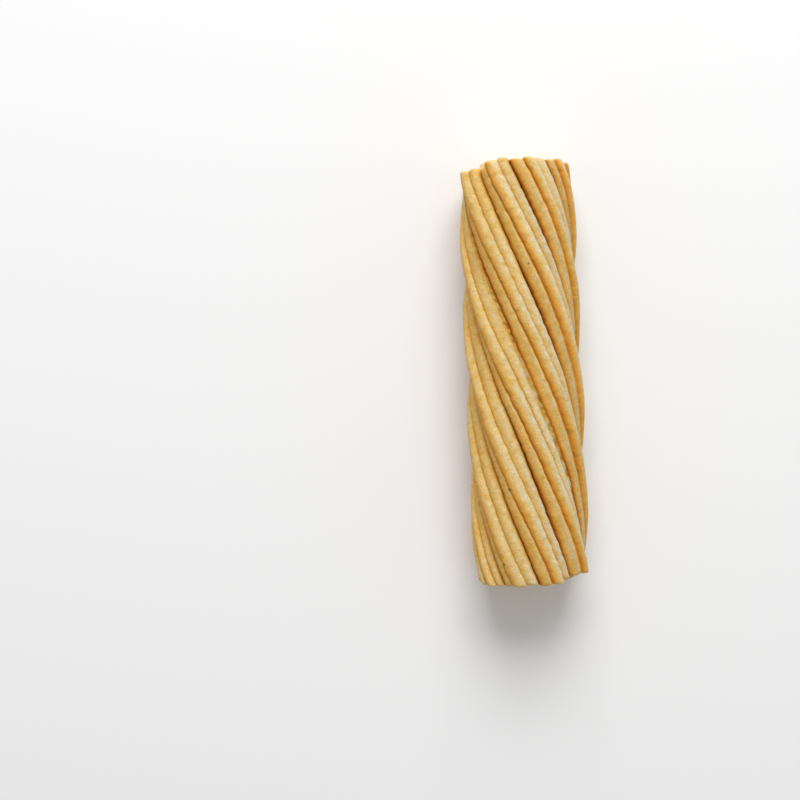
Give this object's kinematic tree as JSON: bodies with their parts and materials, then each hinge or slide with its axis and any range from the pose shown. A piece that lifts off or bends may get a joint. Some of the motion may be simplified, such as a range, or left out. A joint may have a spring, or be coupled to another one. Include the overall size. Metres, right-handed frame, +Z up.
{
  "type": "soft twisted candy stick",
  "caption": "Short stick of pale, soft candy dough: thin strands pressed into a round bundle, twisted over half a turn and cut off at both ends, lying on its side.",
  "frame": {"origin": "under the middle of the stick, on the surface that it lies on", "axes": "+Z up, +Y along the stick, +X across it, to the right seen from above with +Y away from the viewer"},
  "size_m": [0.0176, 0.063, 0.0153],
  "materials": {
    "candy_dough": "matte, fine-grained candy dough, pale on the crests of the strands and toasted orange-brown in the grooves"
  },
  "bodies": {
    "root": {"twisted_stick": "candy_dough"}
  },
  "joints": []
}
